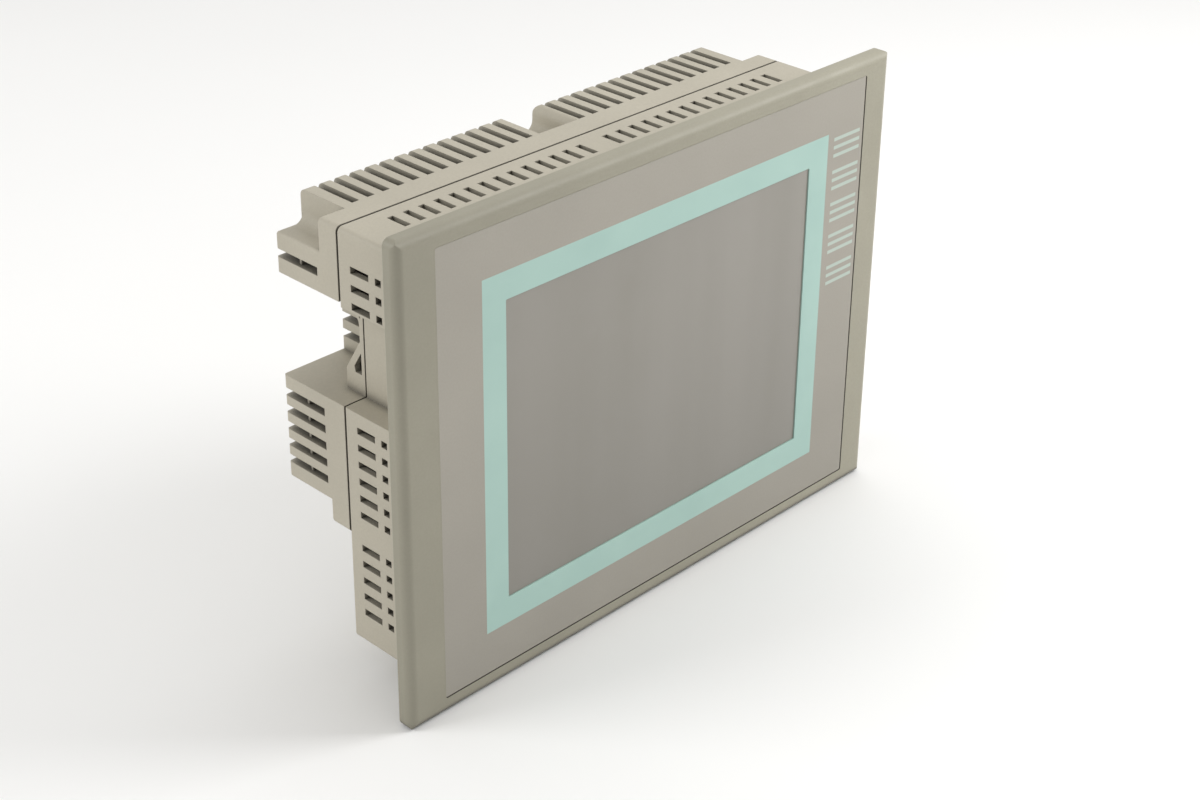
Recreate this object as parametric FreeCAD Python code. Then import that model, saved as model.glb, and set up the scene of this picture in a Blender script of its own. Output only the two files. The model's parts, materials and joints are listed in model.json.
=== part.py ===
import FreeCAD, Part
import math
import os

# Panel-mounted touch operator panel, built as an assembly of separate pieces.
# Millimetres. +X is to the right as the operator sees it, +Y goes back into the cabinet, +Z is up.
# The origin is the centre of the panel cut-out, on the plane where the front frame seats on the panel.

os.makedirs("parts", exist_ok=True)
V = FreeCAD.Vector
Y_AXIS = V(0, 1, 0)

# ---- driving dimensions -------------------------------------------------------------------

# front frame
FRONT_W = 240.0
FRONT_H = 180.0
FRONT_T = 6.5
FRONT_CORNER_R = 2.8
FRONT_EDGE_R = 3.2

# printed film, aqua border and display window
FILM_W = 210.4
FILM_H = 166.9
FILM_T = 0.5
FILM_CX = 0.9
FILM_CZ = 0.1
FILM_DEPTH = 0.6
DISPLAY_W = 151.0
DISPLAY_H = 113.0
DISPLAY_CX = 0.4
DISPLAY_CZ = -0.5

# touch screen
TOUCH_W = 172.0
TOUCH_H = 134.0
TOUCH_FILM_T = 0.2
TOUCH_GLASS_T = 1.8
LEDGE_W = 160.0
LEDGE_H = 122.0
LEDGE_T = 1.5
CAVITY_W = 196.0
CAVITY_H = 140.0

# panel seat
CUTOUT_W = 226.0
CUTOUT_H = 166.0
COLLAR_W = CUTOUT_W - 1.0
COLLAR_H = CUTOUT_H - 1.0
COLLAR_T = 4.5
SEAL_IN_W = 229.0
SEAL_IN_H = 169.0
SEAL_RIM = 3.0
SEAL_T = 1.2

# housing
HALF_W = 108.0
HALF_H = 78.0
WALL = 2.2
SEAM_Y = 36.0
SHOULDER_Y = 46.0
BACK_Y = 68.0
SHOULDER_BOTTOM = -36.0
DEEP_BOTTOM = -27.0
BAY_HALF_W = 75.0
LEDGE_Z = 66.0
FIN_HALF_W = 97.0

# clamp notches, one at each side
NOTCH_X = 98.6
NOTCH_LOW = 13.0
NOTCH_HIGH = 49.8
NOTCH_FRONT_Y = 6.0
DEEP_NOTCH_X = 82.0
DEEP_NOTCH_HIGH = 51.4

# vents: one grid pitch on every side
PITCH = 6.5
VENT_H = 2.5
VENT_Y = (21.3, 30.2)
SQUARE_Y = (15.3, 18.1)
SIDE_ROWS = [0, 1, 2, 9, 10, 11, 12, 13, 14, 16, 17, 18, 19, 20]
TOP_COLUMNS = [j for j in range(29) if j != 14]
FIN_COLUMNS = [j for j in range(29) if not 13 <= j <= 15]
FIN_SLOT_W = 3.0
FIN_SLOT_FLOOR = 68.5
FIN_FRONT_Y = 47.0
SIDE_FIN_ROWS = [1, 9, 10, 11, 12, 13]
SIDE_FIN_FLOOR = 98.5
SIDE_RIB_X = 106.4
SIDE_RIB_Y = (57.0, 58.0)
NOTCH_FIN_ROWS = [3, 4, 5, 6, 7]
NOTCH_FIN_FLOOR = 74.2
FIN_ROUND = 2.5
LEDGE_ROUND = 4.5
EDGE_ROUND = 1.0
SEAM_BEVEL = 0.3
SEAM_GAP = 0.6
SEAM_DEEP = 1.0

# screws
SCREW_HOLE_R = 1.6
PILOT_R = 1.25
HEAD_R = 2.6
PILLAR_R = 3.3
REAR_SCREWS = [(x * 103.0, 72.4) for x in (-1, 1)] + [(x * 103.2, -30.6) for x in (-1, 1)]
FLANGE_T = 2.5
FLANGE_SCREWS = [(s * 101.8, z) for s in (-1, 1) for z in (58.0, -5.0, -58.0)]
FLANGE_SCREWS += [(x, s * 72.2) for s in (-1, 1) for x in (-60.0, 0.0, 60.0)]

# display module and carrier plate
LCD_W = 184.0
LCD_H = 132.0
LCD_Y = (-2.2, 6.8)
PLATE_Y = (9.0, 10.0)
PLATE_POSTS = [(s * 95.1, z) for s in (-1, 1) for z in (55.0, -2.0, -52.0)]
LCD_EARS = [(s * 86.0, t * 63.0) for s in (-1, 1) for t in (-1, 1)]

# main board
BOARD_HALF_W = 77.0
BOARD_Y = (41.0, 42.6)
BOARD_Z = (-24.3, 62.0)
BOARD_POSTS = [(-68.0, 57.0), (68.0, 57.0), (-68.0, 24.0), (68.0, 30.0), (-43.0, -19.0), (44.0, -6.0)]
CARD_TAB_X = 97.0
CARD_TAB_TOP = 8.0

# connectors along the lower edge
POWER_X = -58.0
SERIAL_X = -21.0
ETHERNET_X = 13.0
USB_XS = (32.5, 50.5)
DIP_X = 67.0
TERMINAL_PITCH = 5.08
DIP_PITCH = 2.54
JACKSCREW_SPACING = 25.0

# memory card
CARD_W = 24.0
CARD_L = 32.0
CARD_T = 2.1
CARD_Z = -8.0
CARD_Y = 39.0
CARD_OUT = 1.4
CARD_GAP = 0.3

# protective earth stud
EARTH_X = -92.0
EARTH_Z = -58.0


# ---- small helpers ------------------------------------------------------------------------

def box(x0, x1, y0, y1, z0, z1):
    return Part.makeBox(x1 - x0, y1 - y0, z1 - z0, V(x0, y0, z0))


def rod(r, x, z, y0, y1):
    """A cylinder along Y."""
    return Part.makeCylinder(r, y1 - y0, V(x, y0, z), Y_AXIS)


def post(r, x, y, z0, z1):
    """A cylinder along Z."""
    return Part.makeCylinder(r, z1 - z0, V(x, y, z0), V(0, 0, 1))


def bar(r, x0, x1, y, z):
    """A cylinder along X."""
    return Part.makeCylinder(r, x1 - x0, V(x0, y, z), V(1, 0, 0))


def hexagon(across_flats, centre, axis, length):
    """A hexagonal prism that starts at centre and runs along axis."""
    r = across_flats / math.sqrt(3)
    turn = FreeCAD.Rotation(V(0, 0, 1), axis)
    angles = [math.radians(60 * i) for i in range(7)]
    corners = [centre + turn.multVec(V(r * math.cos(a), r * math.sin(a), 0)) for a in angles]
    face = Part.Face(Part.makePolygon(corners))
    return face.extrude(axis * length)


def slab(w, h, y0, y1, r, cx=0.0, cz=0.0):
    """A rectangle w by h in XZ with rounded corners, extruded from y0 to y1."""
    x0, x1, z0, z1 = cx - w / 2, cx + w / 2, cz - h / 2, cz + h / 2
    k = r * (1 - math.sqrt(0.5))
    edges = [
        Part.LineSegment(V(x0 + r, y0, z0), V(x1 - r, y0, z0)),
        Part.Arc(V(x1 - r, y0, z0), V(x1 - k, y0, z0 + k), V(x1, y0, z0 + r)),
        Part.LineSegment(V(x1, y0, z0 + r), V(x1, y0, z1 - r)),
        Part.Arc(V(x1, y0, z1 - r), V(x1 - k, y0, z1 - k), V(x1 - r, y0, z1)),
        Part.LineSegment(V(x1 - r, y0, z1), V(x0 + r, y0, z1)),
        Part.Arc(V(x0 + r, y0, z1), V(x0 + k, y0, z1 - k), V(x0, y0, z1 - r)),
        Part.LineSegment(V(x0, y0, z1 - r), V(x0, y0, z0 + r)),
        Part.Arc(V(x0, y0, z0 + r), V(x0 + k, y0, z0 + k), V(x0 + r, y0, z0)),
    ]
    wire = Part.Wire([e.toShape() for e in edges])
    return Part.Face(wire).extrude(V(0, y1 - y0, 0))


def prism_x(points, x0, x1):
    """A polygon of (y, z) points, extruded from x0 to x1."""
    corners = [V(x0, y, z) for y, z in points]
    return Part.Face(Part.makePolygon(corners + corners[:1])).extrude(V(x1 - x0, 0, 0))


def prism_z(points, z0, z1):
    """A polygon of (x, y) points, extruded from z0 to z1."""
    corners = [V(x, y, z0) for x, y in points]
    return Part.Face(Part.makePolygon(corners + corners[:1])).extrude(V(0, 0, z1 - z0))


def cut(shape, tools):
    return shape.cut(Part.makeCompound(list(tools)))


def fuse(shapes):
    first = shapes[0]
    return first.fuse(list(shapes[1:])).removeSplitter()


def group(shapes):
    return Part.makeCompound(list(shapes))


def both_sides(x0, x1, y0, y1, z0, z1):
    """The same box at the left and at the right."""
    return [box(x0, x1, y0, y1, z0, z1), box(-x1, -x0, y0, y1, z0, z1)]


def row_z(k):
    return (10 - k) * PITCH


def column_x(j):
    return (j - 14) * PITCH


def save(name, shape):
    shape.exportStep(f"parts/{name}.step")
    print(f"{name:24s} solids {len(shape.Solids):3d}  volume {shape.Volume:12.2f}  valid {shape.isValid()}")


def along_y(shape, y, limit=1e-4):
    """The edges of a shape that lie in the plane at y."""
    return [e for e in shape.Edges if abs(e.BoundBox.YMin - y) < limit and abs(e.BoundBox.YMax - y) < limit]


# ---- front --------------------------------------------------------------------------------

FILM_FLOOR_Y = -FRONT_T + FILM_DEPTH
GLASS_FLOOR_Y = FILM_FLOOR_Y + TOUCH_FILM_T + TOUCH_GLASS_T
LEDGE_Y = GLASS_FLOOR_Y + LEDGE_T
TAIL_X = -30.0
TAIL_W = 12.0
TAIL_Z = -67.5


def make_front_frame():
    body = slab(FRONT_W, FRONT_H, -FRONT_T, 0, FRONT_CORNER_R)
    for side in ("XLength", "ZLength"):
        block = box(-FRONT_W / 2, FRONT_W / 2, -FRONT_T, 0, -FRONT_H / 2, FRONT_H / 2)
        edges = [e for e in along_y(block, -FRONT_T) if getattr(e.BoundBox, side) > 1]
        body = body.common(block.makeFillet(FRONT_EDGE_R, edges))
    body = body.makeFillet(0.6, along_y(body, 0))
    recess = slab(FILM_W + 0.6, FILM_H + 0.6, -FRONT_T - 1, FILM_FLOOR_Y, 0.8, FILM_CX + 0.2, FILM_CZ - 0.2)
    pocket = slab(TOUCH_W + 0.4, TOUCH_H + 0.4, FILM_FLOOR_Y, GLASS_FLOOR_Y, 1.0, DISPLAY_CX, DISPLAY_CZ)
    window = slab(LEDGE_W, LEDGE_H, GLASS_FLOOR_Y, LEDGE_Y, 1.0, DISPLAY_CX, DISPLAY_CZ)
    cavity = slab(CAVITY_W, CAVITY_H, LEDGE_Y, 1, 2.0)
    tail = box(TAIL_X - 7, TAIL_X + 7, GLASS_FLOOR_Y, LEDGE_Y, TAIL_Z - 1, -60)
    groove = slab(SEAL_IN_W + 2 * SEAL_RIM, SEAL_IN_H + 2 * SEAL_RIM, -SEAL_T, 1, 3.0)
    groove = groove.cut(slab(SEAL_IN_W, SEAL_IN_H, -SEAL_T, 1, 2.0))
    body = cut(body, [recess, pocket, window, cavity, tail, groove])
    posts = [rod(2.7, x, z, LEDGE_Y, PLATE_Y[0]) for x, z in PLATE_POSTS]
    body = fuse([body] + posts)
    pilots = [rod(PILOT_R, x, z, -3.0, PLATE_Y[0] + 1) for x, z in PLATE_POSTS]
    pilots += [rod(PILOT_R, x, z, -4.5, 1) for x, z in FLANGE_SCREWS]
    return cut(body, pilots)


def make_seal():
    outer = slab(SEAL_IN_W + 2 * SEAL_RIM, SEAL_IN_H + 2 * SEAL_RIM, -SEAL_T, 0, 3.0)
    return outer.cut(slab(SEAL_IN_W, SEAL_IN_H, -SEAL_T, 0, 2.0))


def make_film():
    film = slab(FILM_W, FILM_H, FILM_FLOOR_Y - FILM_T, FILM_FLOOR_Y, 0.5, FILM_CX, FILM_CZ)
    window = slab(DISPLAY_W, DISPLAY_H, FILM_FLOOR_Y - 1, FILM_FLOOR_Y, 0.5, DISPLAY_CX, DISPLAY_CZ)
    return film.cut(window)


def make_touch_film():
    return slab(TOUCH_W, TOUCH_H, FILM_FLOOR_Y, FILM_FLOOR_Y + TOUCH_FILM_T, 0.8, DISPLAY_CX, DISPLAY_CZ)


def make_touch_glass():
    return slab(TOUCH_W, TOUCH_H, FILM_FLOOR_Y + TOUCH_FILM_T, GLASS_FLOOR_Y, 0.8, DISPLAY_CX, DISPLAY_CZ)


TAIL_T = 0.2
TAIL_REAR_Y = 31.0
TAIL_TOP_Z = -14.0
TAIL_SOCKET_Y = 38.0


def make_touch_tail():
    x0, x1 = TAIL_X - TAIL_W / 2, TAIL_X + TAIL_W / 2
    y = GLASS_FLOOR_Y
    return fuse([
        box(x0, x1, y, y + TAIL_T, TAIL_Z, -60.5),
        box(x0, x1, y, TAIL_REAR_Y, TAIL_Z, TAIL_Z + TAIL_T),
        box(x0, x1, TAIL_REAR_Y - TAIL_T, TAIL_REAR_Y, TAIL_Z, TAIL_TOP_Z),
        box(x0, x1, TAIL_REAR_Y - TAIL_T, TAIL_SOCKET_Y, TAIL_TOP_Z - TAIL_T, TAIL_TOP_Z),
    ])


def make_touch_socket():
    y0, y1 = TAIL_SOCKET_Y, BOARD_Y[0]
    body = box(TAIL_X - 8.5, TAIL_X + 8.5, y0, y1, TAIL_TOP_Z - 2.0, TAIL_TOP_Z + 1.8)
    return body


# ---- display module -----------------------------------------------------------------------

def make_lcd_frame():
    y0, y1 = LCD_Y
    outer = box(-LCD_W / 2, LCD_W / 2, y0, y1 - 1.0, -LCD_H / 2, LCD_H / 2)
    inner = box(-LCD_W / 2 + 0.8, LCD_W / 2 - 0.8, y0 + 0.8, y1, -LCD_H / 2 + 0.8, LCD_H / 2 - 0.8)
    window = slab(DISPLAY_W + 4, DISPLAY_H + 4, y0 - 1, y0 + 1, 0.5, DISPLAY_CX, DISPLAY_CZ)
    lead_holes = [box(90, 93, 1.0, 3.4, s * 60.5 - 1.2, s * 60.5 + 1.2) for s in (-1, 1)]
    return cut(outer, [inner, window] + lead_holes)


def make_lcd_glass():
    y0 = LCD_Y[0] + 0.8
    return box(-82, 82, y0, y0 + 1.4, -63, 63)


def make_diffuser():
    y0 = LCD_Y[0] + 2.2
    return box(-82, 82, y0, y0 + 0.4, -58.5, 58.5)


def make_light_guide():
    y0 = LCD_Y[0] + 2.6
    return box(-82, 82, y0, y0 + 4.0, -58, 58)


def make_lamps():
    return group(bar(1.3, -84, 84, 2.2, s * 60.5) for s in (-1, 1))


def make_lamp_ends():
    caps = []
    for s in (-1, 1):
        for t in (-1, 1):
            x = t * 86.0
            cap = box(x - 2.0, x + 2.0, 0.2, 4.2, s * 60.5 - 2.0, s * 60.5 + 2.0)
            caps.append(cap.cut(bar(1.3, -84, 84, 2.2, s * 60.5)))
    return group(caps)


def make_lcd_tray():
    y0 = LCD_Y[1] - 1.0
    tray = box(-LCD_W / 2, LCD_W / 2, y0, y0 + 1.0, -LCD_H / 2, LCD_H / 2)
    return cut(tray, [rod(SCREW_HOLE_R, x, z, y0 - 1, y0 + 2) for x, z in LCD_EARS])


def make_lcd_spacers():
    rings = []
    for x, z in LCD_EARS:
        rings.append(rod(2.6, x, z, LCD_Y[1], PLATE_Y[0]).cut(rod(PILOT_R, x, z, LCD_Y[1], PLATE_Y[0])))
    return group(rings)


def screws(places, head_y, shank_y, head_r, shank_r, head_h):
    """Cross-recessed pan-head screws along Y, with their heads at the rear."""
    made = []
    for x, z in places:
        top_y = head_y + head_h
        head = rod(head_r, x, z, head_y, top_y)
        head = head.makeFillet(min(0.5, head_h * 0.4), along_y(head, top_y))
        shank = rod(shank_r, x, z, shank_y, head_y)
        slot_y = top_y - head_h * 0.5
        arm = head_r * 0.55
        cross = [
            box(x - arm, x + arm, slot_y, top_y, z - 0.35, z + 0.35),
            box(x - 0.35, x + 0.35, slot_y, top_y, z - arm, z + arm),
        ]
        made.append(cut(fuse([head, shank]), cross))
    return group(made)


def make_carrier_plate():
    plate = slab(192.4, 132.6, PLATE_Y[0], PLATE_Y[1], 2.0, 0, -0.2)
    holes = [rod(SCREW_HOLE_R, x, z, 8, 11) for x, z in PLATE_POSTS + LCD_EARS]
    holes += [rod(PILOT_R, x, z, 8, 11) for x, z in BOARD_POSTS + INVERTER_POSTS]
    cable_window = box(-14, 14, 8, 11, -8, 6)
    lead_notches = [box(92.9, 97, 8, 11, s * 60.5 - 3, s * 60.5 + 3) for s in (-1, 1)]
    slots = [slab(26, 5, 8, 11, 2.4, 36 * i, 38) for i in (-1, 0, 1)]
    return cut(plate, holes + [cable_window] + lead_notches + slots)


# ---- inverter for the lamps ---------------------------------------------------------------

LEAD_R = 0.6
INVERTER_Z = (-60.0, -40.0)
INVERTER_X = (-10.0, 84.0)
INVERTER_POSTS = [(INVERTER_X[0] + 4, -50.0), (INVERTER_X[1] - 20, -50.0)]


def make_inverter_board():
    board = box(INVERTER_X[0], INVERTER_X[1], 14.0, 15.6, INVERTER_Z[0], INVERTER_Z[1])
    return cut(board, [rod(SCREW_HOLE_R, x, z, 13, 17) for x, z in INVERTER_POSTS])


def make_inverter_parts():
    transformer = box(8, 34, 15.6, 23.0, -57, -43)
    core = box(12, 30, 23.0, 24.2, -55, -45)
    capacitors = [rod(3.0, 42 + 8 * i, -46, 15.6, 24.0) for i in range(2)]
    sockets = [box(72, 82, 15.6, 21.0, z - 3.5, z + 3.5) for z in (-55.5, -44.5)]
    return group([fuse([transformer, core])] + capacitors + sockets)


def pipe(points, r):
    """A thin wire: straight runs with round elbows."""
    pieces = []
    for a, b in zip(points, points[1:]):
        run = V(*b) - V(*a)
        pieces.append(Part.makeCylinder(r, run.Length, V(*a), run))
    pieces += [Part.makeSphere(r, V(*p)) for p in points[1:-1]]
    return fuse(pieces)


def make_lamp_leads():
    out_x, plug_x, run_x = 94.0, 82.0, 88.0
    low = pipe([(run_x, 2.2, -60.5), (out_x, 2.2, -60.5), (out_x, 18.0, -60.5),
                (run_x, 18.0, -55.5), (plug_x, 18.0, -55.5)], LEAD_R)
    high = pipe([(run_x, 2.2, 60.5), (out_x, 2.2, 60.5), (out_x, 18.0, 60.5),
                 (run_x, 18.0, 52.0), (run_x, 18.0, -44.5), (plug_x, 18.0, -44.5)], LEAD_R)
    return group([low, high])


# ---- front housing ------------------------------------------------------------------------

def notch_box(x0, y0, y1, z0, z1):
    """The space beyond x0 at both sides."""
    return both_sides(x0, HALF_W + 20, y0, y1, z0, z1)


def bay_floor(y0, y1):
    """The space under the connectors, between the two feet of the rear cover."""
    return box(-BAY_HALF_W, BAY_HALF_W, y0, y1, SHOULDER_BOTTOM - 1, DEEP_BOTTOM)


def make_front_housing():
    shell = slab(2 * HALF_W, 2 * HALF_H, COLLAR_T, SEAM_Y, 2.0)
    shell = shell.makeChamfer(SEAM_BEVEL, along_y(shell, SEAM_Y))
    shell = cut(shell, notch_box(NOTCH_X, NOTCH_FRONT_Y, SEAM_Y + 1, NOTCH_LOW, NOTCH_HIGH))
    collar = slab(COLLAR_W, COLLAR_H, 0, COLLAR_T, 2.5)
    body = fuse([shell, collar])
    inside = box(-HALF_W + WALL, HALF_W - WALL, FLANGE_T, SEAM_Y + 1, -HALF_H + WALL, HALF_H - WALL)
    keep = notch_box(NOTCH_X - WALL, FLANGE_T, SEAM_Y + 1, NOTCH_LOW - WALL, NOTCH_HIGH + WALL)
    rear_wall = box(-HALF_W, HALF_W, SEAM_Y - WALL, SEAM_Y + 1, -HALF_H, SHOULDER_BOTTOM + WALL)
    bay_wall = box(-BAY_HALF_W - WALL, BAY_HALF_W + WALL, SEAM_Y - WALL, SEAM_Y + 1,
                   -HALF_H, DEEP_BOTTOM + WALL)
    inside = cut(inside, keep + [rear_wall, bay_wall])
    throat = slab(196.4, 137.0, -1, FLANGE_T + 0.5, 2.0)
    body = cut(body, [inside, throat])
    body = fuse([body] + [rod(PILLAR_R, x, z, 18, SEAM_Y) for x, z in REAR_SCREWS])
    holes = [rod(PILOT_R, x, z, 20, SEAM_Y + 1) for x, z in REAR_SCREWS]
    holes += [rod(SCREW_HOLE_R, x, z, -1, FLANGE_T + 1) for x, z in FLANGE_SCREWS]
    holes.append(rod(2.2, EARTH_X, EARTH_Z, 30, SEAM_Y + 1))
    vents = []
    for k in SIDE_ROWS:
        z = row_z(k)
        for y0, y1 in (VENT_Y, SQUARE_Y):
            vents += both_sides(HALF_W - WALL - 1, HALF_W + 1, y0, y1, z - VENT_H / 2, z + VENT_H / 2)
    for j in TOP_COLUMNS:
        x = column_x(j)
        for z0, z1 in ((HALF_H - WALL - 1, HALF_H + 1), (-HALF_H - 1, -HALF_H + WALL + 1)):
            vents.append(box(x - VENT_H / 2, x + VENT_H / 2, VENT_Y[0], VENT_Y[1], z0, z1))
    return cut(body, holes + vents)


# ---- rear cover ---------------------------------------------------------------------------

CATCH_Y = 38.6
CATCH_TOP_Y = 46.0
LIP_R = 4.2
LIP_T = 1.3
LIP_CENTRE = (CATCH_Y + LIP_R, 38.6)
RAMP = [(SEAM_Y, 12.0), (CATCH_TOP_Y, 12.0), (CATCH_TOP_Y, 20.5), (45.0, 22.3), (CATCH_Y, 32.6),
        (CATCH_Y, 34.0), (SEAM_Y, 34.0)]
RAMP_INSIDE = [(SEAM_Y - 1, 10.0), (44.0, 10.0), (44.0, 20.0), (43.3, 21.2), (36.9, 31.5), (SEAM_Y - 1, 31.5)]
RAMP_HOLE = [(38.2, 20.4), (41.4, 20.4), (41.9, 22.6), (38.2, 28.6)]
LIP_TOP = 52.5
LIP_INSIDE_TOP = 50.0
CRADLE_X = (-6.0, 8.5)
CRADLE_FLOOR = 68.5
CRADLE_ROUND = 3.5


def catch(x0, x1):
    """A clamp's catch wall: a ramp, a narrow strip over it, and a lip that sweeps back above."""
    lip = box(x0, x1, SEAM_Y, CATCH_TOP_Y, 33.0, LIP_TOP)
    y, z = LIP_CENTRE
    below = box(x0, x1, CATCH_Y, CATCH_TOP_Y + 1, 32.0, z)
    behind = box(x0, x1, y, CATCH_TOP_Y + 1, z - 1, z + LIP_R)
    return fuse([prism_x(RAMP, x0, x1), cut(lip, [below, behind, bar(LIP_R, x0, x1, y, z)])])


def catch_inside(x0, x1):
    """The hollows behind the ramp and behind the lip."""
    y, z = LIP_CENTRE
    above = box(x0, x1, SEAM_Y - 1, 44.0, z + 1, LIP_INSIDE_TOP)
    solid = [bar(LIP_R + LIP_T, x0, x1, y, z), box(x0, x1, y, 45.0, z, z + LIP_R + LIP_T)]
    solid.append(box(x0, x1, CATCH_Y - 1.6, CATCH_Y, z, z + 1.5))
    return [prism_x(RAMP_INSIDE, x0, x1), cut(above, solid)]


def catch_holes(x0, x1):
    """The two holes that a clamp's foot hooks into: one in the ramp, one over the lip."""
    y, z = LIP_CENTRE
    upper = box(x0, x1, 38.0, 41.6, z + 1, LIP_INSIDE_TOP - 1.5)
    return [prism_x(RAMP_HOLE, x0, x1), upper.cut(bar(LIP_R + LIP_T, x0, x1, y, z))]


def seam_groove():
    """The cover's rim is set back where it meets the housing, so that the joint shows as a dark line."""
    y0, y1 = SEAM_Y - 1, SEAM_Y + SEAM_GAP
    height = HALF_H - SHOULDER_BOTTOM
    middle = (SHOULDER_BOTTOM + HALF_H) / 2
    ring = slab(2 * HALF_W + 4, height + 4, y0, y1, 3.0, 0, middle)
    kept = slab(2 * (HALF_W - SEAM_DEEP), height - 2 * SEAM_DEEP, y0, y1, 1.2, 0, middle)
    notches = notch_box(NOTCH_X - SEAM_DEEP, y0, y1, NOTCH_LOW - SEAM_DEEP, DEEP_NOTCH_HIGH + SEAM_DEEP)
    return [ring.cut(kept)] + notches


def side_slots(z):
    """A cooling slot at each side, crossed by a low rib."""
    z0, z1 = z - FIN_SLOT_W / 2, z + FIN_SLOT_W / 2
    slots = both_sides(SIDE_RIB_X, HALF_W + 1, FIN_FRONT_Y, BACK_Y + 1, z0, z1)
    slots += both_sides(SIDE_FIN_FLOOR, SIDE_RIB_X, FIN_FRONT_Y, SIDE_RIB_Y[0], z0, z1)
    slots += both_sides(SIDE_FIN_FLOOR, SIDE_RIB_X, SIDE_RIB_Y[1], BACK_Y + 1, z0, z1)
    return slots


def rear_cover_outside():
    shoulder_z = (SHOULDER_BOTTOM + HALF_H) / 2
    shoulder = slab(2 * HALF_W, HALF_H - SHOULDER_BOTTOM, SEAM_Y, SHOULDER_Y, 2.0, 0, shoulder_z)
    shoulder = shoulder.makeFillet(EDGE_ROUND, along_y(shoulder, SHOULDER_Y))
    shoulder = cut(shoulder, [bay_floor(SEAM_Y - 1, SHOULDER_Y + 1)])
    join_y = SHOULDER_Y - EDGE_ROUND - 0.2
    deep_z = (DEEP_BOTTOM + LEDGE_Z) / 2
    deep = slab(2 * HALF_W, LEDGE_Z - DEEP_BOTTOM, join_y, BACK_Y, EDGE_ROUND, 0, deep_z)
    deep = deep.makeFillet(0.9 * EDGE_ROUND, along_y(deep, BACK_Y))
    crown = box(-FIN_HALF_W, FIN_HALF_W, join_y, BACK_Y, LEDGE_Z - 2, HALF_H)
    crown_edge = [e for e in along_y(crown, BACK_Y) if abs(e.BoundBox.ZMin - HALF_H) < 1e-4]
    crown = crown.makeFillet(FIN_ROUND, crown_edge)
    hollow_x = FIN_HALF_W + LEDGE_ROUND
    hollow_z = LEDGE_Z + LEDGE_ROUND
    corners = both_sides(FIN_HALF_W - 1, hollow_x, join_y, BACK_Y - EDGE_ROUND, LEDGE_Z - 2, hollow_z)
    hollows = [rod(LEDGE_ROUND, s * hollow_x, hollow_z, join_y - 1, BACK_Y) for s in (-1, 1)]
    body = fuse([shoulder, deep, crown] + [cut(corner, hollows) for corner in corners])
    body = cut(body, notch_box(DEEP_NOTCH_X, SEAM_Y - 1, BACK_Y + 1, NOTCH_LOW, DEEP_NOTCH_HIGH))
    return fuse([body, catch(-NOTCH_X, -DEEP_NOTCH_X + 1), catch(DEEP_NOTCH_X - 1, NOTCH_X)])


def rear_cover_inside():
    half = HALF_W - WALL
    near = box(-half, half, SEAM_Y - 1, SHOULDER_Y - WALL, SHOULDER_BOTTOM + WALL, HALF_H - WALL)
    low_z, high_z = NOTCH_LOW - WALL, DEEP_NOTCH_HIGH + WALL
    near = cut(near, [box(-BAY_HALF_W - WALL, BAY_HALF_W + WALL, SEAM_Y - 2, SHOULDER_Y,
                          SHOULDER_BOTTOM, DEEP_BOTTOM + WALL)])
    near = cut(near, notch_box(DEEP_NOTCH_X - WALL, SEAM_Y - 2, SHOULDER_Y, low_z, high_z))
    side = SIDE_FIN_FLOOR - WALL
    deep = box(-side, side, SHOULDER_Y - WALL - 1, BACK_Y - WALL, DEEP_BOTTOM + WALL, FIN_SLOT_FLOOR - WALL)
    deep = cut(deep, notch_box(NOTCH_FIN_FLOOR - WALL, SEAM_Y, BACK_Y, low_z, high_z))
    hollows = catch_inside(-NOTCH_X + WALL, -DEEP_NOTCH_X + WALL + 1)
    hollows += catch_inside(DEEP_NOTCH_X - WALL - 1, NOTCH_X - WALL)
    return [near, deep] + hollows


def cradle():
    """The hollow in the middle of the top fins, with round upper edges."""
    x0, x1 = CRADLE_X
    hollow = slab(x1 - x0, 2 * (HALF_H - CRADLE_FLOOR), FIN_FRONT_Y, BACK_Y + 1, 4.0, (x0 + x1) / 2, HALF_H)
    low_z = HALF_H - CRADLE_ROUND
    tools = [hollow]
    for near_x, far_x in ((x0 + 0.5, x0 - CRADLE_ROUND), (x1 - 0.5, x1 + CRADLE_ROUND)):
        edge = box(min(near_x, far_x), max(near_x, far_x), FIN_FRONT_Y, BACK_Y + 1, low_z, HALF_H + 1)
        tools.append(edge.cut(rod(CRADLE_ROUND, far_x, low_z, FIN_FRONT_Y - 1, BACK_Y + 2)))
    return tools


def make_rear_cover():
    body = cut(rear_cover_outside(), rear_cover_inside())
    body = fuse([body] + [rod(PILLAR_R, x, z, SEAM_Y, SHOULDER_Y - EDGE_ROUND) for x, z in REAR_SCREWS])
    tools = []
    half_slot = FIN_SLOT_W / 2
    for x, z in REAR_SCREWS:
        tools.append(rod(SCREW_HOLE_R, x, z, SEAM_Y - 1, SHOULDER_Y + 1))
        tools.append(rod(HEAD_R + 0.3, x, z, SHOULDER_Y - 3.2, SHOULDER_Y + 1))
    for j in FIN_COLUMNS:
        x = column_x(j)
        tools.append(box(x - half_slot, x + half_slot, FIN_FRONT_Y, BACK_Y + 1, FIN_SLOT_FLOOR, HALF_H + 1))
    for k in SIDE_FIN_ROWS:
        tools += side_slots(row_z(k))
    for k in NOTCH_FIN_ROWS:
        z = row_z(k)
        tools += both_sides(NOTCH_FIN_FLOOR, DEEP_NOTCH_X + 1, FIN_FRONT_Y, BACK_Y + 1,
                            z - half_slot, z + half_slot)
    for x0, x1 in ((-NOTCH_X - 1, -NOTCH_X + WALL + 1), (NOTCH_X - WALL - 1, NOTCH_X + 1)):
        tools += catch_holes(x0, x1)
    tools += seam_groove()
    tools += cradle()
    for j in range(5, 24):
        x = column_x(j)
        tools.append(box(x - VENT_H / 2, x + VENT_H / 2, BACK_Y - WALL - 1, BACK_Y + 1, 54, 62))
    tools += connector_windows()
    return cut(body, tools)


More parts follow.
